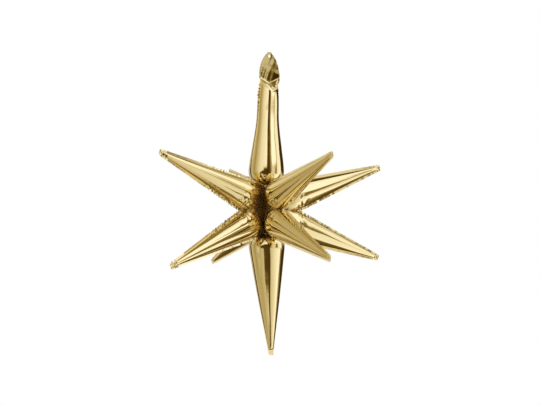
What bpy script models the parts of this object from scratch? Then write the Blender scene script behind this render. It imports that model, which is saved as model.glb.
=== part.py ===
# Star foil balloon, inflated: a top spike that runs into the filling tail, a bottom spike, and four
# pairs of side spikes that spread from two crossed panels of foil. Every spike is two sheets welded
# along flat seams that lie in its panel. Metres, +Z up, origin at the centre of the hanging hole.

import math

import bmesh
import bpy
from mathutils import Matrix, Vector

# Weld seams, gathered into puckers where the panels turn a corner
SEAM_WIDTH = 0.005
SEAM_THICKNESS = 0.0012
PUCKER_PITCH = 0.014
PUCKER_DEPTH = 0.0032
PUCKER_FADE = 0.045

# Flat filling tail and its hanging hole
TAIL_HALF_WIDTH = 0.033
TAIL_LENGTH = 0.116
TAIL_POINT_LENGTH = 0.090
TAIL_NOSE_HALF_WIDTH = 0.003
HOLE_DIAMETER = 0.008
HOLE_FROM_TOP = 0.013

# Top spike, measured up its own axis from the middle of the star
TOP_LENGTH = 0.478
TOP_LEAN_DEG = 1.7
TOP_BASE_AT = 0.076
TOP_ROUNDING = 0.030
TOP_RADIUS = 0.0515
TOP_NECK_RADIUS = 0.0315
TOP_NECK_LENGTH = 0.085
TOP_MOUTH_LENGTH = 0.022

# Bottom spike, measured down its own axis from the middle of the star
BOTTOM_LENGTH = 0.432
BOTTOM_LEAN_DEG = 2.2
BOTTOM_BASE_AT = 0.078
BOTTOM_ROUNDING = 0.030
BOTTOM_RADIUS = 0.0525
BOTTOM_TIP_RADIUS = 0.0065

# Puckers along the seams at the inner ends of the top and bottom spikes
BASE_PUCKERS_LENGTH = 0.075

# Side spikes: (name, azimuth from +X, rise of the spike's middle line), both in degrees. The middle
# line starts on the upright axis, above or below the middle of the star.
SIDE_SPIKES = (
    ("right_upper", -4.0, 18.2),
    ("right_lower", -3.0, -18.9),
    ("back_upper", 80.0, 19.3),
    ("back_lower", 89.0, -20.6),
    ("left_upper", 194.0, 18.9),
    ("left_lower", 200.0, -21.2),
    ("front_upper", 270.0, 18.3),
    ("front_lower", 269.0, -19.0),
)
SIDE_LENGTH = 0.413
SIDE_START_HEIGHT = 0.0125
SIDE_TAPER_START = 0.105
SIDE_TAPER_RADIUS = 0.0425
SIDE_TIP_RADIUS = 0.004
PANEL_AXIS_HALF_WIDTH = 0.058
PANEL_SHOULDER_AT = 0.050
PANEL_SHOULDER_HALF_WIDTH = 0.050
PANEL_SHOULDER_THICKNESS = 0.064
PANEL_AXIS_THICKNESS = 0.012
NOTCH_PUCKERS_START = 0.098
NOTCH_PUCKERS_END = 0.224
OUTER_PUCKERS_END = 0.140
OUTER_PUCKER_SHARE = 0.4

# Flat weld at the end of each spike
TIP_SEAL_LENGTH = 0.009
TIP_SEAL_HALF_WIDTH = 0.009
TIP_CLOSING_LENGTH = 0.020

# Weld line down the middle, where the two panels are joined
CORE_RADIUS = 0.007
CORE_OVERLAP = 0.012

# Fineness of the faces
ARC_STEPS = 6
PLAIN_RING_STEP = 0.045
HOLE_SEGMENTS = 24
CORE_SEGMENTS = 12

FOIL_GOLD = (0.78, 0.62, 0.30, 1.0)
FOIL_ROUGHNESS = 0.16
FILM = SEAM_THICKNESS / 2


def smooth_value(stations, s):
    """Value at s of a smooth curve through (place, value) stations, without humps between them."""
    if s <= stations[0][0]:
        return stations[0][1]
    if s >= stations[-1][0]:
        return stations[-1][1]
    i = max(k for k in range(len(stations) - 1) if stations[k][0] <= s)
    (s0, v0), (s1, v1) = stations[i], stations[i + 1]

    def slope(k):
        before = stations[max(k - 1, 0)]
        here = stations[k]
        after = stations[min(k + 1, len(stations) - 1)]
        if (here[1] - before[1]) * (after[1] - here[1]) <= 0:
            return 0.0
        into = (here[1] - before[1]) / (here[0] - before[0])
        away = (after[1] - here[1]) / (after[0] - here[0])
        return 2 * into * away / (into + away)

    h = s1 - s0
    t = (s - s0) / h
    return (
        v0 * (1 + 2 * t) * (1 - t) ** 2
        + slope(i) * h * t * (1 - t) ** 2
        + v1 * t * t * (3 - 2 * t)
        + slope(i + 1) * h * t * t * (t - 1)
    )


def fade_window(s, low, high, fade):
    """1 from low to high, falling smoothly to 0 over the fade length outside them."""
    past = max(low - s, s - high, 0.0)
    return 0.5 + 0.5 * math.cos(math.pi * min(past / fade, 1.0))


def ring_places(start, end, pucker_start, pucker_end, extra):
    """Where a spike has its sections: two to a pucker along gathered seams, and fewer elsewhere."""
    half = PUCKER_PITCH / 2
    count = round((pucker_end - pucker_start) / half)
    places = {pucker_start + k * half for k in range(count + 1)} | {start, end, *extra}
    ordered = sorted(p for p in places if start <= p <= end)
    kept = [ordered[0]]
    for place in ordered[1:]:
        gap = place - kept[-1]
        if gap < 0.1 * half:
            continue
        fill = math.ceil(gap / PLAIN_RING_STEP)
        kept += [place - gap * (fill - k) / fill for k in range(1, fill + 1)]
    return kept


def ring_points(half_width, half_thickness, seam, swings):
    """One section of a spike, as (across, out) pairs: two bulging sheets and a flat seam at each side.

    half_width reaches to the root of the seam. swings holds how far out the two seams are waved,
    first the one at +across and then the one at -across.
    """
    bulge = max(half_thickness - FILM, 0.0)
    edge = half_width + seam
    points = []
    for face, start_turn in ((1, 0.0), (-1, math.pi)):
        for k in range(ARC_STEPS + 1):
            turn = start_turn + math.pi * k / ARC_STEPS
            across = half_width * math.cos(turn)
            swing = swings[0] if across > 0 else swings[1]
            share = 0.5 * abs(math.cos(turn)) ** 6
            points.append((across, face * FILM + bulge * math.sin(turn) + share * swing))
        swing = swings[1] if face == 1 else swings[0]
        points += [(-face * edge, swing + face * FILM), (-face * edge, swing - face * FILM)]
    return points


def add_object(collection, name, mesh):
    """Turns a bmesh into an object of the collection."""
    data = bpy.data.meshes.new(name)
    mesh.to_mesh(data)
    mesh.free()
    made = bpy.data.objects.new(name, data)
    collection.objects.link(made)
    return made


def loft_spike(collection, name, places, shape, matrix):
    """A closed solid skinned over the spike's sections.

    shape gives half width, half thickness, seam width and swings at a place along the spike, and
    matrix takes (along, across, out) to the balloon's frame.
    """
    mesh = bmesh.new()
    loops = []
    for index, s in enumerate(places):
        half_width, half_thickness, seam, depths = shape(s)
        side = 1 if index % 2 else -1
        section = ring_points(half_width, half_thickness, seam, [side * d for d in depths])
        loops.append([mesh.verts.new(matrix @ Vector((s, *point))) for point in section])
    count = len(loops[0])
    for first, second in zip(loops, loops[1:]):
        for k in range(count):
            after = (k + 1) % count
            mesh.faces.new((first[k], first[after], second[after], second[k]))
    mesh.faces.new(reversed(loops[0]))
    mesh.faces.new(loops[-1])
    bmesh.ops.triangulate(mesh, faces=mesh.faces[:])
    bmesh.ops.recalc_face_normals(mesh, faces=mesh.faces[:])
    return add_object(collection, name, mesh)


def spike_matrix(azimuth_deg, rise_deg, start):
    """Maps a spike's (along, across in its panel, out of its panel) to the balloon's frame."""
    azimuth = math.radians(azimuth_deg)
    rise = math.radians(rise_deg)
    out = Vector((math.sin(azimuth), -math.cos(azimuth), 0.0))
    level = Vector((math.cos(azimuth), math.sin(azimuth), 0.0))
    along = level * math.cos(rise) + Vector((0.0, 0.0, math.sin(rise)))
    across = out.cross(along)
    return Matrix.Translation(start) @ Matrix((along, across, out)).transposed().to_4x4()


def closing_places(length):
    """Places of the sections that close a spike into its flat end weld."""
    seal = length - TIP_SEAL_LENGTH
    return (
        seal - TIP_CLOSING_LENGTH,
        seal - TIP_CLOSING_LENGTH / 3,
        seal,
        length - TIP_SEAL_LENGTH / 3,
    )


def end_seam(length, half_width, s):
    """Seam width at s: even along the spike, then filled out to the blunt end weld's own outline."""
    seal = length - TIP_SEAL_LENGTH
    even_until = seal - TIP_CLOSING_LENGTH / 3
    if s <= even_until:
        return SEAM_WIDTH
    past_seal = max(s - seal, 0.0) / TIP_SEAL_LENGTH
    rounded = 0.6 + 0.4 * math.sqrt(1 - min(past_seal, 1.0) ** 3)
    return max(TIP_SEAL_HALF_WIDTH * rounded - half_width, SEAM_WIDTH / 3)


def end_thickness(length, radius_before, radius_at_end):
    """Stations of half thickness over the last stretch, down to the flat weld."""
    closing, nearly, seal, _ = closing_places(length)
    return [
        (closing, radius_before),
        (nearly, 0.7 * radius_at_end),
        (seal, FILM),
    ]


def base_stations(base_at, rounding, radius):
    """The rounded inner end of an upright spike, as a quarter of an ellipse."""
    turns = [math.radians(angle) for angle in (12, 32, 58, 90)]
    return [(base_at + rounding * (1 - math.cos(t)), radius * math.sin(t)) for t in turns]


def side_spike(collection, name, azimuth, rise, hub):
    seal = SIDE_LENGTH - TIP_SEAL_LENGTH
    closing = seal - TIP_CLOSING_LENGTH
    taper = (SIDE_TAPER_RADIUS - SIDE_TIP_RADIUS) / (seal - SIDE_TAPER_START)
    middle = (SIDE_TAPER_START + seal) / 2
    middle_radius = (SIDE_TAPER_RADIUS + SIDE_TIP_RADIUS) / 2
    widths = [
        (0.0, PANEL_AXIS_HALF_WIDTH),
        (PANEL_SHOULDER_AT, PANEL_SHOULDER_HALF_WIDTH),
        (SIDE_TAPER_START, SIDE_TAPER_RADIUS),
        (middle, middle_radius),
        (seal, SIDE_TIP_RADIUS),
        (SIDE_LENGTH, SIDE_TIP_RADIUS / 2),
    ]
    thicknesses = [
        (0.0, PANEL_AXIS_THICKNESS / 2),
        (PANEL_SHOULDER_AT, PANEL_SHOULDER_THICKNESS / 2),
        (SIDE_TAPER_START, SIDE_TAPER_RADIUS),
        (middle, middle_radius),
        *end_thickness(SIDE_LENGTH, SIDE_TIP_RADIUS + taper * (seal - closing), SIDE_TIP_RADIUS),
    ]
    upper = rise > 0

    def shape(s):
        half_width = smooth_value(widths, s)
        notch = fade_window(s, NOTCH_PUCKERS_START, NOTCH_PUCKERS_END, PUCKER_FADE)
        outer = fade_window(s, NOTCH_PUCKERS_START, OUTER_PUCKERS_END, PUCKER_FADE)
        outer *= OUTER_PUCKER_SHARE
        depths = (outer, notch) if upper else (notch, outer)
        return (
            half_width,
            smooth_value(thicknesses, s),
            end_seam(SIDE_LENGTH, half_width, s),
            [PUCKER_DEPTH * d for d in depths],
        )

    places = ring_places(
        0.0,
        SIDE_LENGTH,
        NOTCH_PUCKERS_START,
        NOTCH_PUCKERS_END,
        (PANEL_SHOULDER_AT / 2, PANEL_SHOULDER_AT, middle, *closing_places(SIDE_LENGTH)),
    )
    start = hub + Vector((0.0, 0.0, SIDE_START_HEIGHT if upper else -SIDE_START_HEIGHT))
    return loft_spike(collection, name, places, shape, spike_matrix(azimuth, rise, start))


def bottom_spike(collection, hub):
    seal = BOTTOM_LENGTH - TIP_SEAL_LENGTH
    closing = seal - TIP_CLOSING_LENGTH
    base = base_stations(BOTTOM_BASE_AT, BOTTOM_ROUNDING, BOTTOM_RADIUS)
    shoulder = base[-1][0]
    taper = (BOTTOM_RADIUS - BOTTOM_TIP_RADIUS) / (seal - shoulder)
    middle = (shoulder + seal) / 2
    middle_radius = (BOTTOM_RADIUS + BOTTOM_TIP_RADIUS) / 2
    widths = [
        *base,
        (middle, middle_radius),
        (seal, BOTTOM_TIP_RADIUS),
        (BOTTOM_LENGTH, BOTTOM_TIP_RADIUS / 2),
    ]
    thicknesses = [
        *base,
        (middle, middle_radius),
        *end_thickness(
            BOTTOM_LENGTH, BOTTOM_TIP_RADIUS + taper * (seal - closing), BOTTOM_TIP_RADIUS
        ),
    ]
    base_end = base[0][0]
    puckers_end = base_end + BASE_PUCKERS_LENGTH

    def shape(s):
        half_width = smooth_value(widths, s)
        depth = PUCKER_DEPTH * OUTER_PUCKER_SHARE
        depth *= fade_window(s, base_end, puckers_end, PUCKER_FADE)
        seam = end_seam(BOTTOM_LENGTH, half_width, s)
        return half_width, smooth_value(thicknesses, s), seam, (depth, depth)

    extra = (shoulder, middle, *closing_places(BOTTOM_LENGTH))
    places = ring_places(base_end, BOTTOM_LENGTH, base_end, puckers_end, extra)
    matrix = spike_matrix(0.0, BOTTOM_LEAN_DEG - 90.0, hub)
    return loft_spike(collection, "bottom", places, shape, matrix)


def tail_half_width(s):
    """Half-width of the flat tail at s: straight, then a pointed arch with a small blunt nose."""
    share = max(s - (TOP_LENGTH - TAIL_POINT_LENGTH), 0.0) / TAIL_POINT_LENGTH
    arch = TAIL_HALF_WIDTH * max(1 - share**2.6, 0.0) ** 0.75
    return max(arch, TAIL_NOSE_HALF_WIDTH)


def top_spike(collection, name, hub):
    mouth = TOP_LENGTH - TAIL_LENGTH
    tube_end = mouth - TOP_MOUTH_LENGTH
    neck = mouth - TOP_NECK_LENGTH
    base = base_stations(TOP_BASE_AT, TOP_ROUNDING, TOP_RADIUS)
    shoulder = base[-1][0]
    body = [
        *base,
        ((shoulder + neck) / 2, (TOP_RADIUS + TOP_NECK_RADIUS) / 2),
        (neck, TOP_NECK_RADIUS),
        (tube_end, TOP_NECK_RADIUS),
    ]
    widths = [*body, (mouth, TAIL_HALF_WIDTH - SEAM_WIDTH)]
    thicknesses = [*body, ((tube_end + mouth) / 2, 0.66 * TOP_NECK_RADIUS), (mouth, FILM)]
    base_end = base[0][0]
    puckers_end = base_end + BASE_PUCKERS_LENGTH

    def shape(s):
        if s < mouth:
            half_width = smooth_value(widths, s)
            seam = SEAM_WIDTH
        else:
            seam = SEAM_WIDTH * tail_half_width(s) / TAIL_HALF_WIDTH
            half_width = tail_half_width(s) - seam
        at_base = OUTER_PUCKER_SHARE * fade_window(s, base_end, puckers_end, PUCKER_FADE)
        at_mouth = fade_window(s, tube_end - PUCKER_PITCH, tube_end, PUCKER_PITCH)
        depth = PUCKER_DEPTH * max(at_base, at_mouth)
        return half_width, smooth_value(thicknesses, s), seam, (depth, depth)

    mouth_places = [mouth - k * PUCKER_PITCH / 2 for k in range(8)]
    tail_shares = (0.03, 0.09, 0.18, 0.32, 0.5, 0.75, 1.0)
    tail_places = [TOP_LENGTH - share * TAIL_POINT_LENGTH for share in tail_shares]
    extra = (shoulder, neck, *mouth_places, *tail_places)
    places = ring_places(base_end, TOP_LENGTH, base_end, puckers_end, extra)
    matrix = spike_matrix(0.0, 90.0 - TOP_LEAN_DEG, hub)
    return loft_spike(collection, name, places, shape, matrix)


def cylinder_between(collection, name, radius, segments, start, end):
    mesh = bmesh.new()
    axis = end - start
    turn = axis.to_track_quat("Z", "Y").to_matrix().to_4x4()
    bmesh.ops.create_cone(
        mesh,
        cap_ends=True,
        segments=segments,
        radius1=radius,
        radius2=radius,
        depth=axis.length,
        matrix=Matrix.Translation((start + end) / 2) @ turn,
    )
    return add_object(collection, name, mesh)


def foil_material():
    material = bpy.data.materials.new("gold_foil")
    material.use_nodes = True
    surface = material.node_tree.nodes["Principled BSDF"]
    surface.inputs["Base Color"].default_value = FOIL_GOLD
    surface.inputs["Metallic"].default_value = 1.0
    surface.inputs["Roughness"].default_value = FOIL_ROUGHNESS
    material.diffuse_color = FOIL_GOLD
    return material


def new_collection(name):
    collection = bpy.data.collections.new(name)
    bpy.context.scene.collection.children.link(collection)
    return collection


def main():
    for old in list(bpy.data.objects):
        bpy.data.objects.remove(old)
    parts = new_collection("star_foil_balloon")
    joined = new_collection("joined_shapes")
    cutters = new_collection("cutters")

    # The middle of the star lies below the hole, down the leaning axis of the top spike.
    top_lean = math.radians(TOP_LEAN_DEG)
    up = Vector((math.sin(top_lean), 0.0, math.cos(top_lean)))
    hub = (HOLE_FROM_TOP - TOP_LENGTH) * up
    bottom_lean = math.radians(BOTTOM_LEAN_DEG)
    down = Vector((math.sin(bottom_lean), 0.0, -math.cos(bottom_lean)))

    balloon = top_spike(parts, "foil_balloon", hub)
    balloon.data.materials.append(foil_material())

    for name, azimuth, rise in SIDE_SPIKES:
        side_spike(joined, name, azimuth, rise, hub)
    bottom_spike(joined, hub)
    core_top = hub + up * (TOP_BASE_AT + CORE_OVERLAP)
    core_bottom = hub + down * (BOTTOM_BASE_AT + CORE_OVERLAP)
    cylinder_between(joined, "weld_above", CORE_RADIUS, CORE_SEGMENTS, hub, core_top)
    cylinder_between(joined, "weld_below", CORE_RADIUS, CORE_SEGMENTS, hub, core_bottom)

    through = Vector((0.0, 4 * SEAM_THICKNESS, 0.0))
    hole = cylinder_between(
        cutters, "hanging_hole", HOLE_DIAMETER / 2, HOLE_SEGMENTS, -through, through
    )
    for helper in (*joined.objects, *cutters.objects):
        helper.hide_render = True
        helper.display_type = "WIRE"

    join = balloon.modifiers.new("join_shapes", "BOOLEAN")
    join.operation = "UNION"
    join.operand_type = "COLLECTION"
    join.collection = joined
    cut = balloon.modifiers.new("cut_hole", "BOOLEAN")
    cut.operation = "DIFFERENCE"
    cut.object = hole


main()
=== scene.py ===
# Star foil balloon: ten inflated spikes of champagne gold foil, with puckered weld seams and a flat tail.
# Metres, +Z up, origin in the hanging hole. Every spike is skinned by a Geometry Nodes tree.

import math
import random
from types import SimpleNamespace

import bmesh
import bpy
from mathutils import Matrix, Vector


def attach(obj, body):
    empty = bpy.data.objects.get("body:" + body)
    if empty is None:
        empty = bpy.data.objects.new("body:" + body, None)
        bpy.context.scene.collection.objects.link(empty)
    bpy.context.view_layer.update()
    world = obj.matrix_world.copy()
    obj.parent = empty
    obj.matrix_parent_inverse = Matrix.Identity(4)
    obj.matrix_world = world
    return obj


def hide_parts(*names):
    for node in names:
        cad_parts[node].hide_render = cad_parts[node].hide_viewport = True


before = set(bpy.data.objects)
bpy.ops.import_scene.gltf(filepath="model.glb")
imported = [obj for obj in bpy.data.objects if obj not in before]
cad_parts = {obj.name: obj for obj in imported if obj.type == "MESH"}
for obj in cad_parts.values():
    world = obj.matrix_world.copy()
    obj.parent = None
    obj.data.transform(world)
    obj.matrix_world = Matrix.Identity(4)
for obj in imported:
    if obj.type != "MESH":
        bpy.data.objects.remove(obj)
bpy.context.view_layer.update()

star = {
    "holeFromTop": 0.013,  # centre of the hanging hole below the top of the tail
    "holeDiameter": 0.008,
    "topLength": 0.478,  # from the middle of the star, along the spike
    "topLean": 1.7,  # degrees off upright, towards +X
    "bottomLean": 2.6,
    "sideStart": 0.0125,  # side spikes start on the upright axis, this far above or below the middle
    "filmThickness": 0.0006,
    "creaseAngle": 42.0,  # degrees; sharper folds are not smoothed over
}
topLean = math.radians(star["topLean"])
hub = (star["holeFromTop"] - star["topLength"]) * Vector((math.sin(topLean), 0.0, math.cos(topLean)))


# Node helpers

class Field:
    # A node output that takes plain arithmetic. Each operation adds one Math node to its tree.
    def __init__(self, tree, socket):
        self.tree = tree
        self.socket = socket

    def __add__(self, other):
        return mathNode(self.tree, "ADD", self, other)

    def __radd__(self, other):
        return mathNode(self.tree, "ADD", other, self)

    def __sub__(self, other):
        return mathNode(self.tree, "SUBTRACT", self, other)

    def __rsub__(self, other):
        return mathNode(self.tree, "SUBTRACT", other, self)

    def __mul__(self, other):
        return mathNode(self.tree, "MULTIPLY", self, other)

    def __rmul__(self, other):
        return mathNode(self.tree, "MULTIPLY", other, self)

    def __truediv__(self, other):
        return mathNode(self.tree, "DIVIDE", self, other)

    def __pow__(self, other):
        return mathNode(self.tree, "POWER", self, other)

    def __mod__(self, other):
        return mathNode(self.tree, "MODULO", self, other)


def plug(tree, socket, value):
    if isinstance(value, Field):
        tree.links.new(value.socket, socket)
    elif isinstance(value, bpy.types.NodeSocket):
        tree.links.new(value, socket)
    else:
        socket.default_value = value


def addNode(tree, kind, inputs=None, **settings):
    node = tree.nodes.new(kind)
    for key, value in settings.items():
        setattr(node, key, value)
    for key, value in (inputs or {}).items():
        plug(tree, node.inputs[key], value)
    return node


def mathNode(tree, operation, *values, clamp=False):
    node = addNode(tree, "ShaderNodeMath", operation=operation, use_clamp=clamp)
    for socket, value in zip(node.inputs, values):
        plug(tree, socket, value)
    return Field(tree, node.outputs[0])


def floorOf(value):
    return mathNode(value.tree, "FLOOR", value)


def sine(value):
    return mathNode(value.tree, "SINE", value)


def cosine(value):
    return mathNode(value.tree, "COSINE", value)


def absolute(value):
    return mathNode(value.tree, "ABSOLUTE", value)


def larger(first, second):
    return mathNode(first.tree, "MAXIMUM", first, second)


def smaller(first, second):
    return mathNode(first.tree, "MINIMUM", first, second)


def clamped(value):
    return mathNode(value.tree, "ADD", value, 0.0, clamp=True)


def fading(value):
    return mathNode(value.tree, "EXPONENT", value * -1.0)


def zigzag(value):
    # triangle wave from -1 to 1, one to a unit
    return mathNode(value.tree, "PINGPONG", value, 0.5) * 4.0 - 1.0


def vectorOf(tree, x, y, z):
    node = addNode(tree, "ShaderNodeCombineXYZ", {"X": x, "Y": y, "Z": z})
    return Field(tree, node.outputs[0])


def noiseAt(tree, x, y, z, detail=0.0):
    # smooth noise from about -0.5 to 0.5, one lump to a unit
    place = vectorOf(tree, x, y, z)
    node = addNode(tree, "ShaderNodeTexNoise", {"Vector": place, "Scale": 1.0, "Detail": detail})
    return Field(tree, node.outputs["Fac"]) - 0.5


def randomAt(tree, x):
    # one value from 0 to 1 for each whole number
    node = addNode(tree, "ShaderNodeTexWhiteNoise", {"W": x}, noise_dimensions="1D")
    return Field(tree, node.outputs["Value"])


def curveOf(share, points, height):
    # value read from a drawn curve; a third entry marks a corner
    node = addNode(share.tree, "ShaderNodeFloatCurve", {"Value": share})
    line = node.mapping.curves[0]
    while len(line.points) < len(points):
        line.points.new(0.5, 0.5)
    for knot, (x, y, *corner) in zip(line.points, points):
        knot.location = (x, y / height)
        knot.handle_type = "VECTOR" if corner else "AUTO_CLAMPED"
    node.mapping.update()
    return Field(share.tree, node.outputs[0]) * height


# Spikes

spikeInputs = (
    ("Length", "NodeSocketFloat", 0.4),
    ("Rings", "NodeSocketInt", 150),
    ("Points Per Sheet", "NodeSocketInt", 30),
    ("Seam Steps", "NodeSocketInt", 2),
    ("Film Thickness", "NodeSocketFloat", star["filmThickness"]),
    ("Pucker Pitch", "NodeSocketFloat", 0.0105),
    ("Pucker Depth", "NodeSocketFloat", 0.003),
    ("Pucker Reach", "NodeSocketFloat", 0.0055),
    ("Outer Gather", "NodeSocketFloat", 0.5),
    ("Notch Gather", "NodeSocketFloat", 1.0),
    ("Notch Side", "NodeSocketFloat", 1.0),
    ("Notch Fold Depth", "NodeSocketFloat", 0.0),
    ("Wave Depth", "NodeSocketFloat", 0.02),
    ("Facet Flatness", "NodeSocketFloat", 0.45),
    ("Streak Depth", "NodeSocketFloat", 0.0055),
    ("Crumple Depth", "NodeSocketFloat", 0.003),
    ("Crumple Size", "NodeSocketFloat", 0.02),
    ("Seed", "NodeSocketFloat", 0.0),
    ("Start", "NodeSocketVector", (0.0, 0.0, 0.0)),
    ("Azimuth", "NodeSocketFloat", 0.0),
    ("Rise", "NodeSocketFloat", 0.0),
    ("Foil", "NodeSocketMaterial", None),
)
curveTop = 0.06  # no width or thickness that is drawn as a curve is larger
sameSpot = 0.000002  # points nearer than this are one
steep = 1000.0  # turns a sign into 0 or 1

gathers = {
    # puckers wave the weld, and folds run on from it into the foil
    "drift": 2.6,  # how far an uneven pitch shifts them, in puckers
    "puckerDriftRate": 40.0,  # lumps to a metre in the noise that shifts them
    "foldDriftRate": 30.0,
    "puckerLeast": 0.15,  # strength of the weakest
    "puckerSpread": 1.5,
    "puckerFade": 0.5,  # share of the reach
    "edgeSwing": 0.5,  # how much more the outer edge of the weld swings
    "foldLeast": 0.1,
    "foldSpread": 1.6,
    "foldPitch": 1.4,  # against the puckers
    "foldDepth": 0.35,
    "foldPlace": 0.6,  # shares of the reach
    "foldStart": 0.4,
    "widest": 4.0,  # no wideFolds curve goes higher
}
relief = {
    "waveRate": 11.0,  # lumps to a metre, as the other rates
    "facetDriftRate": 7.0,
    "facetTurn": 0.35,  # radians, along one facet
    "facetScatter": 0.12,  # radians, from spike to spike
    "facetDepthDrift": 1.2,
    "facetThinnest": 0.004,  # facets fade where the tube is thinner
    "streakRate": 5.0,
    "streaksAround": 2.2,
    "streakRidges": 3.0,
    "crumpleFolds": 6,
    "crumpleSeed": 3,
    "edgeRate": 55.0,
    "notchRate": 60.0,
    "notchDrift": 0.5,
    "notchStart": 0.006,  # folds start this far from the notch
}


def ringPlan(shape):
    # number of rings, and the curve from a ring's share to its share of the length
    counts = []
    start = begin = shape["begin"]
    for until, step in shape["rings"]:
        counts.append(max(1, round((until - start) / step)))
        start = until
    total = sum(counts)
    points = [(0.0, begin / start, 1)]
    done = 0
    for (until, _), count in zip(shape["rings"], counts):
        done += count
        points.append((done / total, until / start, 1))
    return total + 1, points


def creaseDirections(count, seed, flat=False):
    draw = random.Random(seed)
    directions = []
    for number in range(count):
        direction = Vector((draw.gauss(0, 1), draw.gauss(0, 1), 0.0 if flat else draw.gauss(0, 1)))
        directions.append((*direction.normalized(), draw.uniform(0.7, 1.6)))
    return directions


def creases(place, size, seed, directions):
    # sum of triangle waves in many directions: flat facets between sharp folds, from about -1 to 1
    x, y, z = place
    total = 0.0
    for number, (dx, dy, dz, scale) in enumerate(directions):
        along = (x * dx + y * dy + z * dz) / (size * scale)
        total = total + zigzag(along + seed * (0.37 + 0.21 * number)) * (1.0 / len(directions))
    return total


class Skin(SimpleNamespace):
    # One kind of spike while its tree is built. The fields s, across and out are a point's place along the
    # spike, in the plane of its weld and out of that plane. Odd factors on a seed only keep draws apart.
    def given(self, label):
        return Field(self.tree, self.entry.outputs[label])

    def drawn(self, key, height=1.0, share=None):
        # a curve of the shape, given by metres along a spike of the usual length
        points = [(at / self.shape["length"], *rest) for at, *rest in self.shape[key]]
        return curveOf(self.share if share is None else share, points, height)


def openTree(name, shape):
    tree = bpy.data.node_groups.new(name, "GeometryNodeTree")
    rings, spacing = ringPlan(shape)
    usual = {"Length": shape["length"], "Rings": rings, **shape["inputs"]}
    for label, kind, default in spikeInputs:
        socket = tree.interface.new_socket(label, in_out="INPUT", socket_type=kind)
        if default is not None:
            socket.default_value = usual.get(label, default)
    tree.interface.new_socket("Geometry", in_out="OUTPUT", socket_type="NodeSocketGeometry")
    return Skin(tree=tree, shape=shape, entry=tree.nodes.new("NodeGroupInput"), spacing=spacing)


def layGrid(skin):
    # rings of points: each runs over the front sheet and a weld, then back over the other sheet and weld
    tree, given = skin.tree, skin.given
    sheetPoints, seamSteps = given("Points Per Sheet"), given("Seam Steps")
    columns = sheetPoints * 2.0 + 1.0
    skin.grid = addNode(tree, "GeometryNodeMeshGrid", {"Vertices X": given("Rings"), "Vertices Y": columns})
    index = Field(tree, addNode(tree, "GeometryNodeInputIndex").outputs[0])
    ring = floorOf((index + 0.5) / columns)
    column = (index - ring * columns) % (sheetPoints * 2.0)  # the last column lies on the first
    sheet = floorOf((column + 0.5) / sheetPoints)
    step = column - sheet * sheetPoints
    lastStep = sheetPoints - 1.0
    seamPlus = larger(seamSteps - step, 0.0) / seamSteps
    seamMinus = larger(step - lastStep + seamSteps, 0.0) / seamSteps
    skin.face = 1.0 - sheet * 2.0  # 1 on the front sheet, -1 on the back one
    skin.turn = clamped((step - seamSteps) / (lastStep - seamSteps * 2.0)) * math.pi
    skin.seamShare = seamPlus - seamMinus  # 1 and -1 at the outer edges of the weld, 0 on the sheet
    skin.inner = smaller(smaller(ring, given("Rings") - 1.0 - ring), 1.0)  # 0 at the two end rings
    skin.share = curveOf(ring / (given("Rings") - 1.0), skin.spacing, 1.0)
    skin.s = skin.share * given("Length")
    skin.seed = given("Seed")


def drawOutline(skin):
    # half width and half thickness of the inflated tube, and the width of the weld
    length = skin.given("Length")
    skin.halfWidth = skin.drawn("halfWidth", curveTop)
    skin.seam = skin.drawn("seam", curveTop)
    skin.flatness = 0.0  # 1 on a flat tail
    skin.roundness = 0.0  # 1 at the rim of a rounded foot
    bodyShare = skin.share
    if "tail" in skin.shape:
        # the tail narrows to a point, and the tube ends in a V where the flat tail starts
        tail = skin.shape["tail"]
        point = clamped((skin.s - length + tail["pointLength"]) / tail["pointLength"])
        arch = larger((1.0 - point ** tail["pointPower"]) ** tail["archPower"], tail["noseShare"])
        skin.seam = skin.seam * arch
        skin.halfWidth = skin.halfWidth * arch
        vee = (1.0 - absolute(cosine(skin.turn) * skin.face)) * skin.drawn("vee", curveTop)
        bodyShare = skin.share + vee / length
        skin.flatness = clamped((bodyShare * length - tail["mouth"]) / tail["fadeLength"])
    skin.film = skin.given("Film Thickness") * 0.5 * skin.inner
    thickness = skin.drawn("halfThickness", curveTop, bodyShare)
    skin.bulge = larger(thickness - skin.film, 0.0) * skin.inner


def roundFoot(skin):
    # rounded inner end, on a gathered stalk that the other spikes hide
    foot = skin.shape["foot"]
    toRim = 1.0 - clamped((skin.s - foot["at"]) / foot["rounding"])
    cap = (1.0 - toRim ** foot["power"]) ** 0.5
    stalk = clamped(toRim * foot["stalkSteepness"]) * foot["stalk"]
    skin.halfWidth = larger(skin.halfWidth * cap, stalk)
    skin.bulge = larger(skin.bulge * cap, (stalk - skin.film) * skin.inner)
    skin.seam = skin.seam * clamped((skin.s - foot["at"]) / foot["rounding"] * 2.0)
    skin.roundness = toRim


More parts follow.
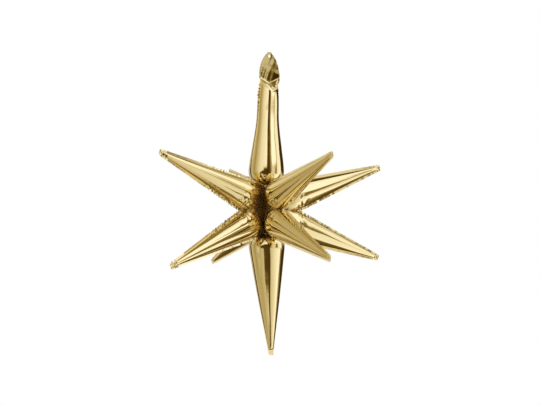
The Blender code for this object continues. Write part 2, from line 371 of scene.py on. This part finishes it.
def gatherSeams(skin, look):
    # the weld waves in and out of its plane, and folds run from it into the foil
    tree, given, s, face = skin.tree, skin.given, skin.s, skin.face
    pitch, reach = given("Pucker Pitch"), given("Pucker Reach")
    skin.onNotchSide = clamped(face * cosine(skin.turn) * given("Notch Side") * steep)
    skin.sideSeed = skin.seed * 3.1 + skin.onNotchSide * 5.7
    notchPuckers = skin.drawn("notchPuckers") * given("Notch Gather")
    outerPuckers = smaller(skin.drawn("outerPuckers") * given("Outer Gather"), 1.0)
    gather = outerPuckers + (notchPuckers - outerPuckers) * skin.onNotchSide
    fromSeam = skin.halfWidth * smaller(skin.turn, math.pi - skin.turn)

    shift = noiseAt(tree, s * look["puckerDriftRate"], skin.sideSeed, 0.0) * look["drift"]
    waving = s / pitch + shift
    chance = randomAt(tree, floorOf(waving) + skin.sideSeed * 11.0)
    strength = look["puckerLeast"] + look["puckerSpread"] * chance * chance
    pucker = zigzag(waving) * strength * gather * given("Pucker Depth")
    seamFade = fading(fromSeam / (reach * look["puckerFade"]))
    skin.swing = pucker * seamFade * (1.0 + look["edgeSwing"] * absolute(skin.seamShare))

    shift = noiseAt(tree, s * look["foldDriftRate"], skin.sideSeed + face * 2.0, 3.0) * look["drift"]
    folding = s / (pitch * look["foldPitch"]) + shift
    chance = randomAt(tree, floorOf(folding) + skin.sideSeed * 7.0 + face * 3.0)
    strength = look["foldLeast"] + look["foldSpread"] * chance * chance
    foldReach = reach
    if "wideFolds" in skin.shape:
        foldReach = reach * (1.0 + skin.drawn("wideFolds", look["widest"]))
    foldFade = fading(absolute(fromSeam - foldReach * look["foldPlace"]) / foldReach)
    fold = zigzag(folding) * strength * gather * foldFade * given("Pucker Depth") * look["foldDepth"]
    skin.fold = fold * clamped(fromSeam / (reach * look["foldStart"]))


def inflate(skin, look):
    # the round tube, with slow waves along it
    face, turn = skin.face, skin.turn
    along = skin.s * look["waveRate"] + skin.seed * 4.0
    lumps = noiseAt(skin.tree, along, cosine(turn) * face, sine(turn) * face * 1.2, 1.0)
    wave = 1.0 + skin.given("Wave Depth") * lumps * sine(turn) * skin.inner
    width = skin.halfWidth * cosine(turn) * (1.0 + (wave - 1.0) * 0.5)
    skin.across = face * (width + skin.seam * skin.seamShare)
    skin.out = face * (skin.film + skin.bulge * sine(turn) * wave)


def flatten(skin, look):
    # flat facets that the stretched foil makes along the spike, each cut by a plane
    for number, (angle, depth) in enumerate(skin.shape["facets"]):
        drift = noiseAt(skin.tree, skin.s * look["facetDriftRate"], skin.seed * 1.7, number * 3.3)
        scatter = sine(skin.seed * (1.3 + number)) * look["facetScatter"]
        tilt = math.radians(angle) + drift * look["facetTurn"] + scatter
        reach = skin.halfWidth * (1.0 - depth * (1.0 + look["facetDepthDrift"] * drift))
        over = larger(skin.across * cosine(tilt) + skin.out * sine(tilt) - reach, 0.0)
        over = over * skin.given("Facet Flatness") * (1.0 - skin.roundness)
        over = over * clamped(skin.bulge / look["facetThinnest"]) * sine(skin.turn)
        skin.across = skin.across - over * cosine(tilt)
        skin.out = skin.out - over * sine(tilt)


def streak(skin, look):
    # long thin folds that run out to the tip: ridges of a noise that is drawn out along the spike
    along = skin.s * look["streakRate"] + skin.seed * 2.3
    around = skin.turn * look["streaksAround"]
    drawnOut = noiseAt(skin.tree, around, along, skin.face * 5.0 + skin.seed * 0.7, 1.0)
    ridges = zigzag(drawnOut * look["streakRidges"])
    ridge = 1.0 + ridges * skin.given("Streak Depth") * sine(skin.turn) * skin.inner
    skin.across = skin.across * ridge
    skin.out = skin.out * ridge


def crumple(skin, look):
    # crumpled foil where the panels are welded together, and on one side of the neck
    place = (skin.s, skin.across, skin.out)
    depth = skin.drawn("crumple") * skin.given("Crumple Depth")
    directions = creaseDirections(look["crumpleFolds"], look["crumpleSeed"])
    bumps = creases(place, skin.given("Crumple Size"), skin.seed + skin.face, directions) * depth
    if "neckCrumple" in skin.shape:
        neck = skin.shape["neck"]
        neckDepth = skin.drawn("neckCrumple", curveTop) * (1.0 - skin.onNotchSide)
        directions = creaseDirections(neck["folds"], neck["seed"])
        bumps = bumps + neckDepth * creases(place, neck["foldSize"], skin.seed, directions)
    skin.outward = skin.face * sine(skin.turn) * skin.inner
    skin.out = skin.out + bumps * skin.outward + skin.swing + skin.fold * skin.outward
    skin.across = skin.across + skin.fold * cosine(skin.turn) * skin.face * skin.inner


def fanFolds(skin, look):
    # folds that fan out from the notch between two spikes
    notch = skin.shape["notch"]
    ds = skin.s - notch["along"]
    da = skin.across - skin.given("Notch Side") * notch["across"]
    apart = (ds * ds + da * da) ** 0.5
    fan = mathNode(skin.tree, "ARCTAN2", da, ds) * (notch["folds"] / (2 * math.pi))
    shift = noiseAt(skin.tree, ds * look["notchRate"], da * look["notchRate"], skin.seed + skin.face * 2.0)
    fan = fan + shift * look["notchDrift"]
    fanFade = clamped(apart / look["notchStart"]) * fading(apart / notch["reach"])
    skin.out = skin.out + zigzag(fan) * fanFade * skin.given("Notch Fold Depth") * skin.outward


def creaseTail(skin):
    # the flat tail is creased, twisted and curled
    tail = skin.shape["tail"]
    directions = creaseDirections(tail["creases"], tail["creaseSeed"], flat=True)
    bumps = creases((skin.s, skin.across, 0.0 * skin.s), tail["creaseSize"], skin.seed, directions)
    twist = skin.drawn("twist")
    curl = skin.across * skin.across * twist * tail["curl"]
    skin.out = skin.out + bumps * skin.drawn("crinkle", curveTop) + skin.across * twist - curl


def closeTree(skin, look):
    # uneven outer edge, marks for the material, then the spike is turned, placed and coated
    tree, given = skin.tree, skin.given
    wander = noiseAt(tree, skin.s * look["edgeRate"], skin.sideSeed * 2.0, 7.0, 1.0)
    edge = skin.seamShare * (wander * skin.shape["edgeWander"]) * skin.inner
    shaped = addNode(tree, "GeometryNodeSetPosition", {
        "Geometry": skin.grid.outputs["Mesh"],
        "Position": vectorOf(tree, skin.s, skin.out, skin.across + skin.face * edge),
    })
    marks = {"weld": clamped(absolute(skin.seamShare) * 4.0), "tail": skin.flatness}  # read by the foil
    for mark, value in marks.items():
        inputs = {"Geometry": shaped.outputs[0], "Name": mark, "Value": value}
        shaped = addNode(tree, "GeometryNodeStoreNamedAttribute", inputs)
    merged = addNode(tree, "GeometryNodeMergeByDistance", {
        "Geometry": shaped.outputs[0],
        "Distance": sameSpot,
    })
    turned = addNode(tree, "FunctionNodeEulerToRotation", {
        0: vectorOf(tree, 0.0, given("Rise") * -1.0, given("Azimuth")),
    })
    placed = addNode(tree, "GeometryNodeTransform", {
        "Geometry": merged.outputs[0],
        "Translation": given("Start"),
        "Rotation": turned.outputs[0],
    })
    real = addNode(tree, "GeometryNodeRealizeInstances", {"Geometry": placed.outputs[0]})
    coated = addNode(tree, "GeometryNodeSetMaterial", {
        "Geometry": real.outputs[0],
        "Material": given("Foil"),
    })
    leave = tree.nodes.new("NodeGroupOutput")
    tree.links.new(coated.outputs[0], leave.inputs[0])


def spikeTree(name, shape):
    skin = openTree(name, shape)
    layGrid(skin)
    drawOutline(skin)
    if "foot" in shape:
        roundFoot(skin)
    gatherSeams(skin, gathers)
    inflate(skin, relief)
    flatten(skin, relief)
    streak(skin, relief)
    crumple(skin, relief)
    if "notch" in shape:
        fanFolds(skin, relief)
    if "tail" in shape:
        creaseTail(skin)
    closeTree(skin, relief)
    return skin.tree


def growSpike(name, tree, settings):
    # one spike from its tree, as a plain closed mesh with its faces pointing outwards
    maker = bpy.data.objects.new(name, bpy.data.meshes.new(name))
    bpy.context.scene.collection.objects.link(maker)
    modifier = maker.modifiers.new("spike", "NODES")
    modifier.node_group = tree
    sockets = [item for item in tree.interface.items_tree if item.in_out == "INPUT"]
    identifiers = {socket.name: socket.identifier for socket in sockets}
    for label, value in settings.items():
        modifier[identifiers[label]] = value
    bpy.context.view_layer.update()
    evaluated = maker.evaluated_get(bpy.context.evaluated_depsgraph_get())
    made = bpy.data.meshes.new_from_object(evaluated)
    maker.modifiers.clear()
    maker.data = made
    shell = bmesh.new()
    shell.from_mesh(made)
    bmesh.ops.recalc_face_normals(shell, faces=shell.faces[:])
    shell.to_mesh(made)
    shell.free()
    return maker


foil = bpy.data.materials.new("goldFoil")

# In the curves below, the first number is metres along the spike. A third number marks a corner.
sideSpike = {
    "length": 0.413,
    "inputs": {"Notch Fold Depth": 0.007, "Crumple Depth": 0.0005, "Outer Gather": 0.4},
    "begin": 0.0,
    # up to where, and how far apart
    "rings": [(0.060, 0.0045), (0.235, 0.0018), (0.384, 0.006), (0.413, 0.0018)],
    "halfWidth": [(0.0, 0.058), (0.050, 0.0505), (0.105, 0.0435), (0.135, 0.0398, 1),
                  (0.404, 0.0045, 1), (0.413, 0.0025)],
    "halfThickness": [(0.0, 0.009), (0.025, 0.0150), (0.045, 0.0252), (0.070, 0.0370), (0.105, 0.0433),
                      (0.135, 0.0398, 1), (0.384, 0.0068, 1), (0.397, 0.0028), (0.404, 0.0), (0.413, 0.0)],
    "seam": [(0.0, 0.0065, 1), (0.392, 0.0060, 1), (0.404, 0.0060), (0.410, 0.0058), (0.413, 0.0032)],
    "notchPuckers": [(0.0, 0.4), (0.100, 1.0), (0.200, 0.9), (0.260, 0.15), (0.375, 0.1), (0.390, 0.5),
                     (0.413, 0.5)],
    "outerPuckers": [(0.0, 0.4), (0.100, 0.5), (0.150, 0.3), (0.220, 0.05), (0.375, 0.05), (0.390, 0.5),
                     (0.413, 0.5)],
    "crumple": [(0.0, 0.3), (0.050, 1.0), (0.090, 1.0), (0.120, 0.0), (0.413, 0.0)],
    # degrees round the spike, and how far in from the round, as a share of the half width
    "facets": [(22, 0.025), (44, 0.04), (70, 0.03), (99, 0.04), (134, 0.055), (158, 0.025),
               (202, 0.025), (224, 0.055), (257, 0.04), (288, 0.03), (316, 0.04), (338, 0.025)],
    "notch": {"along": 0.104, "across": 0.0475, "folds": 9, "reach": 0.013},
    "edgeWander": 0.002,
}
sideSpikes = {
    # azimuth and rise in degrees, and length against the usual
    "rightUpper": (-4.0, 17.9, 1.004),
    "rightLower": (-3.0, -18.6, 1.0),
    "backUpper": (80.0, 18.5, 1.0),
    "backLower": (89.0, -20.6, 1.0),
    "leftUpper": (194.0, 19.4, 1.020),
    "leftLower": (200.0, -21.6, 1.016),
    "frontUpper": (270.0, 17.9, 1.0),
    "frontLower": (269.0, -19.0, 1.0),
}
unlikeOthers = {
    "backUpper": {"Outer Gather": 14.0},  # puckers all along the outer edge
    "leftLower": {"Outer Gather": 1.6},
    "frontUpper": {"Notch Gather": 0.35},  # fewer puckers towards the notch
    "frontLower": {"Notch Gather": 0.6},
}


def growSideSpikes(shape):
    tree = spikeTree("sideSpike", shape)
    grown = []
    for number, (name, (azimuth, rise, reach)) in enumerate(sideSpikes.items()):
        upper = rise > 0
        start = hub + Vector((0.0, 0.0, star["sideStart"] if upper else -star["sideStart"]))
        grown.append(growSpike(name, tree, {
            "Length": shape["length"] * reach,
            "Notch Side": -1.0 if upper else 1.0,
            "Seed": 1.0 + number * 2.37,
            "Start": start,
            "Azimuth": math.radians(azimuth),
            "Rise": math.radians(rise),
            "Foil": foil,
            **unlikeOthers.get(name, {}),
        }))
    return grown


spikes = growSideSpikes(sideSpike)
print("side spikes made", len(spikes))

bottomPuckers = [(0.0, 0.0), (0.080, 0.5), (0.120, 0.1), (0.160, 0.0), (0.400, 0.05), (0.415, 0.6),
                 (0.435, 0.6)]
bottomSpike = {
    "length": 0.435,
    "inputs": {"Points Per Sheet": 28, "Facet Flatness": 0.28},
    "begin": 0.050,
    "rings": [(0.074, 0.008), (0.086, 0.0007), (0.170, 0.002), (0.400, 0.0055), (0.435, 0.0018)],
    "foot": {"at": 0.074, "rounding": 0.046, "power": 3.1, "stalk": 0.009, "stalkSteepness": 20.0},
    "halfWidth": [(0.0, 0.0565), (0.100, 0.0550), (0.150, 0.0490), (0.266, 0.0325), (0.423, 0.0070, 1),
                  (0.435, 0.0045)],
    "halfThickness": [(0.0, 0.0550), (0.100, 0.0535), (0.150, 0.0475), (0.266, 0.0310), (0.403, 0.0094, 1),
                      (0.416, 0.0045), (0.423, 0.0), (0.435, 0.0)],
    "seam": [(0.0, 0.0025, 1), (0.400, 0.0025, 1), (0.423, 0.003), (0.435, 0.002)],
    "notchPuckers": bottomPuckers,
    "outerPuckers": bottomPuckers,
    "crumple": [(0.0, 0.0), (0.085, 0.2), (0.120, 0.0), (0.435, 0.0)],
    "facets": [(48, 0.06), (80, 0.03), (118, 0.07), (226, 0.06), (262, 0.03), (330, 0.05)],
    "edgeWander": 0.0012,
}
spikes.append(growSpike("bottomSpike", spikeTree("bottomSpike", bottomSpike), {
    "Seed": 21.3,
    "Start": hub,
    "Rise": math.radians(star["bottomLean"] - 90.0),
    "Foil": foil,
}))

topPuckers = [(0.0, 0.0), (0.080, 0.1), (0.120, 0.05), (0.170, 0.0), (0.320, 0.1), (0.335, 0.9), (0.368, 1.0),
              (0.385, 0.2), (0.478, 0.1)]
topSpike = {
    "length": star["topLength"],
    "inputs": {"Points Per Sheet": 32, "Facet Flatness": 0.28},
    "begin": 0.050,
    "rings": [(0.075, 0.008), (0.087, 0.0007), (0.160, 0.0022), (0.300, 0.0050), (0.478, 0.0020)],
    "foot": {"at": 0.075, "rounding": 0.052, "power": 3.1, "stalk": 0.009, "stalkSteepness": 20.0},
    "halfWidth": [(0.0, 0.0550), (0.105, 0.0542), (0.1915, 0.0442), (0.240, 0.0374), (0.277, 0.0338),
                  (0.325, 0.0325), (0.362, 0.0300), (0.398, 0.0268), (0.430, 0.0280), (0.478, 0.0285)],
    "halfThickness": [(0.0, 0.0535), (0.105, 0.0520), (0.1915, 0.0418), (0.240, 0.0350), (0.277, 0.0315),
                      (0.366, 0.0300), (0.378, 0.0260), (0.398, 0.0, 1), (0.478, 0.0)],
    "seam": [(0.0, 0.0025, 1), (0.325, 0.0025, 1), (0.345, 0.005), (0.478, 0.005, 1)],
    "notchPuckers": topPuckers,
    "outerPuckers": topPuckers,
    "wideFolds": [(0.0, 0.0), (0.325, 0.0), (0.340, 1.2), (0.372, 1.2), (0.385, 0.0), (0.478, 0.0)],
    "crumple": [(0.0, 0.0), (0.080, 0.04), (0.120, 0.0), (0.478, 0.0)],
    "neckCrumple": [(0.0, 0.0), (0.345, 0.0), (0.358, 0.0038), (0.380, 0.0038), (0.392, 0.0), (0.478, 0.0)],
    "neck": {"folds": 4, "seed": 4, "foldSize": 0.012},
    "facets": [(48, 0.05), (80, 0.04), (122, 0.05), (214, 0.04), (238, 0.04), (264, 0.02), (319, 0.065)],
    "tail": {
        "mouth": 0.398,  # the tube ends here
        "fadeLength": 0.006,
        "pointLength": 0.090,
        "pointPower": 2.6,
        "archPower": 0.72,
        "noseShare": 0.19,
        "curl": 18.0,
        "creases": 5,
        "creaseSeed": 8,
        "creaseSize": 0.02,
    },
    "vee": [(0.0, 0.0), (0.340, 0.0), (0.366, 0.015), (0.478, 0.015)],
    "crinkle": [(0.0, 0.0), (0.380, 0.0), (0.400, 0.0010), (0.460, 0.0008), (0.478, 0.0006)],
    "twist": [(0.0, 0.0), (0.378, 0.0), (0.395, 0.20), (0.430, 0.12), (0.478, 0.09)],
    "edgeWander": 0.0012,
}
balloon = growSpike("topSpike", spikeTree("topSpike", topSpike), {
    "Seed": 33.9,
    "Start": hub,
    "Rise": math.radians(90.0 - star["topLean"]),
    "Foil": foil,
})
print("upright spikes made")


# One skin

def unite(target, tools, operation):
    # joins or cuts closed meshes, and leaves a plain mesh
    group = bpy.data.collections.new("operands")
    bpy.context.scene.collection.children.link(group)
    for tool in tools:
        group.objects.link(tool)
    modifier = target.modifiers.new("unite", "BOOLEAN")
    modifier.solver = "MANIFOLD"
    modifier.operation = operation
    modifier.operand_type = "COLLECTION"
    modifier.collection = group
    bpy.context.view_layer.update()
    evaluated = target.evaluated_get(bpy.context.evaluated_depsgraph_get())
    made = bpy.data.meshes.new_from_object(evaluated)
    target.modifiers.clear()
    target.data = made
    for tool in tools:
        bpy.data.objects.remove(tool)
    bpy.data.collections.remove(group)


def makePunch():
    # the round tool that cuts the hanging hole through the tail
    bpy.ops.mesh.primitive_cylinder_add(
        vertices=24, radius=star["holeDiameter"] / 2, depth=0.02, rotation=(math.pi / 2, 0.0, 0.0))
    return bpy.context.object


def finishSkin(piece):
    piece.name = "foilStar"
    piece.data.name = "foilStar"
    piece.data.shade_smooth()
    piece.data.set_sharp_from_angle(angle=math.radians(star["creaseAngle"]))
    piece.data.materials.clear()
    piece.data.materials.append(foil)
    shell = bmesh.new()
    shell.from_mesh(piece.data)
    triangles = sum(len(face.verts) - 2 for face in shell.faces)
    openEdges = sum(len(edge.link_faces) != 2 for edge in shell.edges)
    shell.free()
    print("foil skin: triangles", triangles, "open edges", openEdges)


unite(balloon, [makePunch()], "DIFFERENCE")
unite(balloon, spikes, "UNION")
finishSkin(balloon)

# Foil finish

foilLook = {
    "colour": (0.82, 0.675, 0.345, 1.0),
    "deepColour": (0.79, 0.64, 0.315, 1.0),
    "cloudScale": 9.0,
    "middleShadeColour": (0.40, 0.25, 0.055, 1.0),  # painted shade where the spikes meet: darker brown, and less metallic
    "middleRadius": 0.095,
    "middleCore": 0.3,  # share of that radius where the painted shade is darkest
    "middleFlatten": 0.85,  # the painted shade reaches a little further up and down
    "middleShine": 0.72,  # how metallic the film is under the painted shade
    "cleftHeight": 0.011,  # painted shade in the clefts between the upper and the lower spikes
    "cleftReach": 0.118,
    "cleftFade": 0.03,
    "cleftShare": 0.9,
    "weldColour": (0.92, 0.80, 0.48, 1.0),  # the welded edge is paler and duller
    "weldShine": 0.8,
    "tailColour": (0.42, 0.315, 0.115, 1.0),  # stands in for darker reflections than the studio gives it
    "roughness": 0.07,
    "polished": 0.7,  # least and most roughness, against the usual
    "hazy": 1.5,
    "hazeScale": 26.0,
    "rippleScale": 55.0,
    "rippleStrength": 0.12,
}


def noiseOf(tree, place, scale, detail):
    node = addNode(tree, "ShaderNodeTexNoise", {"Vector": place, "Scale": scale, "Detail": detail})
    return node.outputs["Fac"]


def markOf(tree, name):
    return Field(tree, addNode(tree, "ShaderNodeAttribute", attribute_name=name).outputs["Fac"])


def blend(tree, amount, first, second):
    node = addNode(tree, "ShaderNodeMix", {0: amount, 6: first, 7: second}, data_type="RGBA")
    return node.outputs[2]


def middleShadeMask(tree, place, look):
    # how much painted shade the film takes: 1 in the middle of the star, and in the clefts between upper and
    # lower spikes
    fromMiddle = addNode(tree, "ShaderNodeVectorMath", {0: place, 1: hub}, operation="SUBTRACT").outputs[0]
    flattened = addNode(tree, "ShaderNodeVectorMath", {
        0: fromMiddle,
        1: (1.0, 1.0, look["middleFlatten"]),
    }, operation="MULTIPLY")
    distance = addNode(tree, "ShaderNodeVectorMath", {0: flattened.outputs[0]}, operation="LENGTH")
    nearness = addNode(tree, "ShaderNodeMapRange", {
        "Value": distance.outputs["Value"],
        "From Min": look["middleRadius"] * look["middleCore"],
        "From Max": look["middleRadius"],
        "To Min": 1.0,
        "To Max": 0.0,
    }, interpolation_type="SMOOTHSTEP")
    parts = addNode(tree, "ShaderNodeSeparateXYZ", {0: fromMiddle}).outputs
    eastWest, northSouth, height = (Field(tree, part) for part in parts)
    reach = (eastWest * eastWest + northSouth * northSouth) ** 0.5
    inCleft = 1.0 - clamped(absolute(height) / look["cleftHeight"])
    cleft = inCleft * clamped((look["cleftReach"] - reach) / look["cleftFade"])
    return larger(Field(tree, nearness.outputs[0]), cleft * look["cleftShare"])


def dressFoil(material, look):
    material.use_nodes = True
    tree = material.node_tree
    surface = tree.nodes["Principled BSDF"]
    place = addNode(tree, "ShaderNodeTexCoord").outputs["Object"]
    weld = markOf(tree, "weld")
    middleShade = middleShadeMask(tree, place, look)
    colour = blend(tree, noiseOf(tree, place, look["cloudScale"], 3.0), look["colour"], look["deepColour"])
    # painted shade: darker brown in the middle of the star and in the clefts between spikes
    colour = blend(tree, middleShade, colour, look["middleShadeColour"])
    colour = blend(tree, weld, colour, look["weldColour"])
    colour = blend(tree, markOf(tree, "tail"), colour, look["tailColour"])
    plug(tree, surface.inputs["Base Color"], colour)
    # the painted shade is also less metallic, so it renders darker; the weld is duller
    paintedShadeAndWeldMatte = larger(middleShade * (1.0 - look["middleShine"]), weld * (1.0 - look["weldShine"]))
    plug(tree, surface.inputs["Metallic"], 1.0 - paintedShadeAndWeldMatte)
    rough = addNode(tree, "ShaderNodeMapRange", {
        "Value": noiseOf(tree, place, look["hazeScale"], 2.0),
        "From Min": 0.3,
        "From Max": 0.7,
        "To Min": look["roughness"] * look["polished"],
        "To Max": look["roughness"] * look["hazy"],
    })
    plug(tree, surface.inputs["Roughness"], rough.outputs[0])
    bump = addNode(tree, "ShaderNodeBump", {
        "Height": noiseOf(tree, place, look["rippleScale"], 2.0),
        "Strength": look["rippleStrength"],
        "Distance": 0.001,
    })
    plug(tree, surface.inputs["Normal"], bump.outputs[0])


dressFoil(foil, foilLook)

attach(balloon, "root")
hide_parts("foil_balloon")
print("balloon dressed")

# Studio

view = {
    "azimuth": -28.0,
    "elevation": -2.2,
    "distance": 3.6,
    "lens": 80.0,  # 1200 pixels of focal length in a picture 540 wide
    "picture": (540, 405),
    "hubPixel": (265.3, 210.0),
}


def aim(azimuth, elevation):
    # direction from the middle of the star, for degrees round from -Y and degrees up
    turn, lift = math.radians(azimuth), math.radians(elevation)
    return Vector((math.sin(turn) * math.cos(lift), -math.cos(turn) * math.cos(lift), math.sin(lift)))


def addCamera(look):
    away = aim(look["azimuth"], look["elevation"])
    data = bpy.data.cameras.new("camera")
    data.lens = look["lens"]
    data.sensor_width = 36.0
    width, height = look["picture"]
    data.shift_x = (width / 2 - look["hubPixel"][0]) / width
    data.shift_y = (look["hubPixel"][1] - height / 2) / width
    camera = bpy.data.objects.new("camera", data)
    camera.location = hub + away * look["distance"]
    camera.rotation_euler = (-away).to_track_quat("-Z", "Y").to_euler()
    bpy.context.scene.collection.objects.link(camera)
    bpy.context.scene.camera = camera


addCamera(view)

studio = {
    "floorBelowHub": 2.1,
    "floorRadius": 9.0,
    "floorColour": (0.86, 0.86, 0.86, 1.0),
    "floorWhite": (0.6, 2.2),  # from and to this far out, the floor passes into the white background
    "worldLevel": 0.8,
    "domeRadius": 1.9,
    "domeFeather": 5.0,  # degrees over which one wall or lamp passes into the next
    "domeContrast": 1.25,
    "domeGreen": 1.22,  # powers of the grey, so that dark reflections are warmer
    "domeBlue": 1.92,
}
lamps = {
    # bearing, elevation, distance, width, height, and level, where 1 is white
    "keyRight": (66.0, 18.0, 2.4, 0.9, 1.6, 0.25),
    "fillAbove": (-20.0, 70.0, 2.4, 1.6, 1.6, 0.3),
}


def addSoftbox(name, bearing, elevation, distance, width, height, level):
    # bearing is degrees to the right of the camera, as seen from the star
    data = bpy.data.lights.new(name, "AREA")
    data.shape = "RECTANGLE"
    data.size = width
    data.size_y = height
    data.energy = level * math.pi * width * height
    lamp = bpy.data.objects.new(name, data)
    lamp.location = hub + aim(view["azimuth"] + bearing, elevation) * distance
    lamp.rotation_euler = (hub - lamp.location).to_track_quat("-Z", "Y").to_euler()
    lamp.visible_camera = False
    bpy.context.scene.collection.objects.link(lamp)


# What the mirror-like foil reflects: walls, lit screens, dark gaps, and the dark room round the camera.
# Each is given by bearing from and to, elevation from and to, and its level of grey at the first and the last
# bearing. A later one covers an earlier one, with soft edges, on a dome that only reflections see.
flats = {
    "overhead": (-130, 50, 33, 100, 0.60, 1.05),
    "leftWall": (-136, -80, -24, 36, 0.96, 0.52),
    "leftCurtain": (-80, -38, -24, 36, 0.52, 1.00),
    "backLeft": (-190, -136, -60, 48, 0.14, 0.86),
    "leftLow": (-180, -126, -64, -26, 0.10, 0.30),
    "leftFloor": (-126, -40, -64, -22, 0.70, 0.62),
    "frontFloor": (-46, 16, -62, -14, 0.66, 1.00),
    "frontSheet": (-44, 16, 2, 40, 1.00, 1.26),
    "cameraGap": (-38, 24, -14, 1, 0.16, 0.13),
    "cameraColumn": (-20, 26, -27, 4, 0.15, 0.13),
    "cameraHead": (-28, 12, -4, 9, 0.15, 0.13),
    "cameraCap": (-15, 12, 5, 17, 0.16, 0.13),
    "rightGap": (8, 32, -1, 32, 0.09, 0.20),
    "gapEdge": (30, 38, -1, 32, 0.30, 0.66),
    "boxLow": (18, 96, -60, -9, 0.76, 1.30),
    "cameraNeck": (5, 22, -38, -8, 0.14, 0.14),
    "cameraFoot": (-18, 30, -64, -35, 0.14, 0.14),
    "boxMiddle": (38, 62, -10, 16, 0.96, 0.86),
    "boxSeam": (64, 73, -8, 20, 0.30, 0.36),
    "boxHigh": (40, 106, 17, 70, 1.28, 1.20),
    "boxTop": (40, 90, 60, 84, 1.15, 1.05),
    "boxCrease": (71, 79, 14, 32, 0.40, 0.46),
    "boxRight": (75, 111, -9, 30, 1.12, 1.20),
    "rightWall": (96, 113, -62, -9, 0.56, 0.34),
    "doorway": (111, 166, -25, 25, 0.11, 0.09),
    "backRightLow": (112, 180, -64, -25, 0.20, 0.13),
    "backRightHigh": (114, 168, 25, 54, 1.00, 0.50),
    "ceilingBack": (106, 226, 52, 74, 0.16, 0.16),
    "backdrop": (171, 189, -26, 20, 0.98, 0.98),
    "underLeft": (-180, -34, -100, -62, 0.26, 0.40),
    "underFront": (-34, 34, -100, -56, 0.85, 0.85),
    "underRight": (34, 180, -100, -62, 0.28, 0.16),
    "zenith": (-180, 180, 74, 100, 0.34, 0.34),
}
restOfStudio = 0.5


def levelOfStudio(bearing, elevation, feather):
    level = restOfStudio
    for first, last, low, high, firstLevel, lastLevel in flats.values():
        half = (last - first) / 2
        aside = (bearing - (first + last) / 2 + 180) % 360 - 180
        inside = min(half - abs(aside), elevation - low, high - elevation)
        cover = min(max(inside / feather + 0.5, 0.0), 1.0)
        cover = cover * cover * (3 - 2 * cover)
        along = min(max((aside + half) / (2 * half), 0.0), 1.0)
        level += (firstLevel + (lastLevel - firstLevel) * along - level) * cover
    return level


def blankPaint(name):
    material = bpy.data.materials.new(name)
    material.use_nodes = True
    material.node_tree.nodes.clear()
    output = addNode(material.node_tree, "ShaderNodeOutputMaterial")
    return material, material.node_tree, output.inputs["Surface"]


def addDome(look):
    bpy.ops.mesh.primitive_uv_sphere_add(segments=180, ring_count=90, radius=look["domeRadius"], location=hub)
    dome = bpy.context.object
    dome.name = "studioDome"
    levels = dome.data.attributes.new("level", "FLOAT", "POINT")
    for vertex, shade in zip(dome.data.vertices, levels.data):
        x, y, z = vertex.co.normalized()
        bearing = math.degrees(math.atan2(x, -y)) - view["azimuth"]
        level = levelOfStudio(bearing, math.degrees(math.asin(z)), look["domeFeather"])
        shade.value = level ** look["domeContrast"]
    paint, tree, outlet = blankPaint("studioGrey")
    grey = markOf(tree, "level")
    warm = addNode(tree, "ShaderNodeCombineColor", {
        "Red": grey,
        "Green": grey ** look["domeGreen"],
        "Blue": grey ** look["domeBlue"],
    })
    glow = addNode(tree, "ShaderNodeEmission", {"Color": warm.outputs[0], "Strength": 1.0})
    plug(tree, outlet, glow.outputs[0])
    dome.data.materials.append(paint)
    dome.visible_camera = False
    dome.visible_diffuse = False
    dome.visible_shadow = False
    dome.visible_transmission = False


def addFloor(look):
    bpy.ops.mesh.primitive_circle_add(vertices=96, radius=look["floorRadius"], fill_type="NGON",
                                      location=(hub.x, hub.y, hub.z - look["floorBelowHub"]))
    floor = bpy.context.object
    floor.name = "floor"
    paint, tree, outlet = blankPaint("floorPaint")
    place = addNode(tree, "ShaderNodeTexCoord").outputs["Object"]
    distance = addNode(tree, "ShaderNodeVectorMath", {0: place}, operation="LENGTH").outputs["Value"]
    nearest, furthest = look["floorWhite"]
    far = addNode(tree, "ShaderNodeMapRange", {
        "Value": distance,
        "From Min": nearest,
        "From Max": furthest,
    }, interpolation_type="SMOOTHSTEP")
    matte = addNode(tree, "ShaderNodeBsdfDiffuse", {"Color": look["floorColour"]})
    white = addNode(tree, "ShaderNodeEmission", {"Color": (1.0, 1.0, 1.0, 1.0), "Strength": 1.0})
    shaders = {0: far.outputs[0], 1: matte.outputs[0], 2: white.outputs[0]}
    mixed = addNode(tree, "ShaderNodeMixShader", shaders)
    plug(tree, outlet, mixed.outputs[0])
    floor.data.materials.append(paint)


def addWorld(level):
    # white to the camera and in reflections, and a softer light otherwise
    world = bpy.data.worlds.new("studio")
    world.use_nodes = True
    tree = world.node_tree
    tree.nodes.clear()
    ray = addNode(tree, "ShaderNodeLightPath")
    direct = mathNode(tree, "MAXIMUM", ray.outputs["Is Camera Ray"], ray.outputs["Is Glossy Ray"])
    seen = mathNode(tree, "MAXIMUM", direct, ray.outputs["Is Transmission Ray"])
    strength = level + (1.0 - level) * seen
    glow = addNode(tree, "ShaderNodeBackground", {"Color": (1.0, 1.0, 1.0, 1.0), "Strength": strength})
    plug(tree, addNode(tree, "ShaderNodeOutputWorld").inputs["Surface"], glow.outputs[0])
    bpy.context.scene.world = world


addFloor(studio)
addWorld(studio["worldLevel"])
addDome(studio)
for name, settings in lamps.items():
    addSoftbox(name, *settings)

bpy.context.scene.view_settings.view_transform = "Standard"
print("studio ready")
